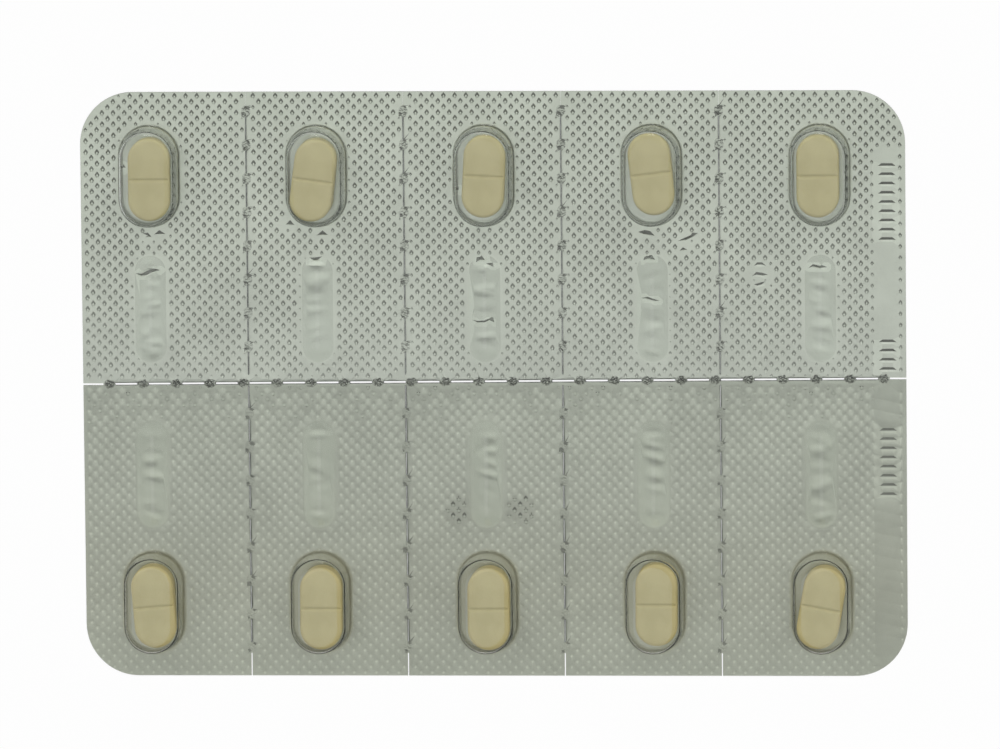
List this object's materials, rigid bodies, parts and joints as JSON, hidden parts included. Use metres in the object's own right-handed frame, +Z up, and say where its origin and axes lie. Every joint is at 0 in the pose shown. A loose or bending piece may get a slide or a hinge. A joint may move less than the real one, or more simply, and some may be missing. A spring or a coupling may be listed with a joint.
{
  "type": "pill blister pack",
  "caption": "Clear blister pack of scored oblong tablets: formed pockets and stiffening beads in one film, sealed to flat foil and split into cells by perforated lines.",
  "frame": {"origin": "centre of the underside of the lidding foil, on the surface that the pack lies on", "axes": "+Z up, the way the pockets stand; +X along the pack, from cell to cell; +Y across it, along the pockets and towards the upper row of the picture"},
  "size_m": [0.0936, 0.0668, 0.0047],
  "materials": {
    "clear_film": "clear glossy thermoformed film",
    "foil": "satin lacquered hard foil with a fine seal knurl",
    "tablet": "pale beige film coat, nearly matt"
  },
  "bodies": {
    "root": {"forming_film": "clear_film", "lidding_foil": "foil", "tablet_01": "tablet", "tablet_02": "tablet", "tablet_03": "tablet", "tablet_04": "tablet", "tablet_05": "tablet", "tablet_06": "tablet", "tablet_07": "tablet", "tablet_08": "tablet", "tablet_09": "tablet", "tablet_10": "tablet"}
  },
  "joints": []
}
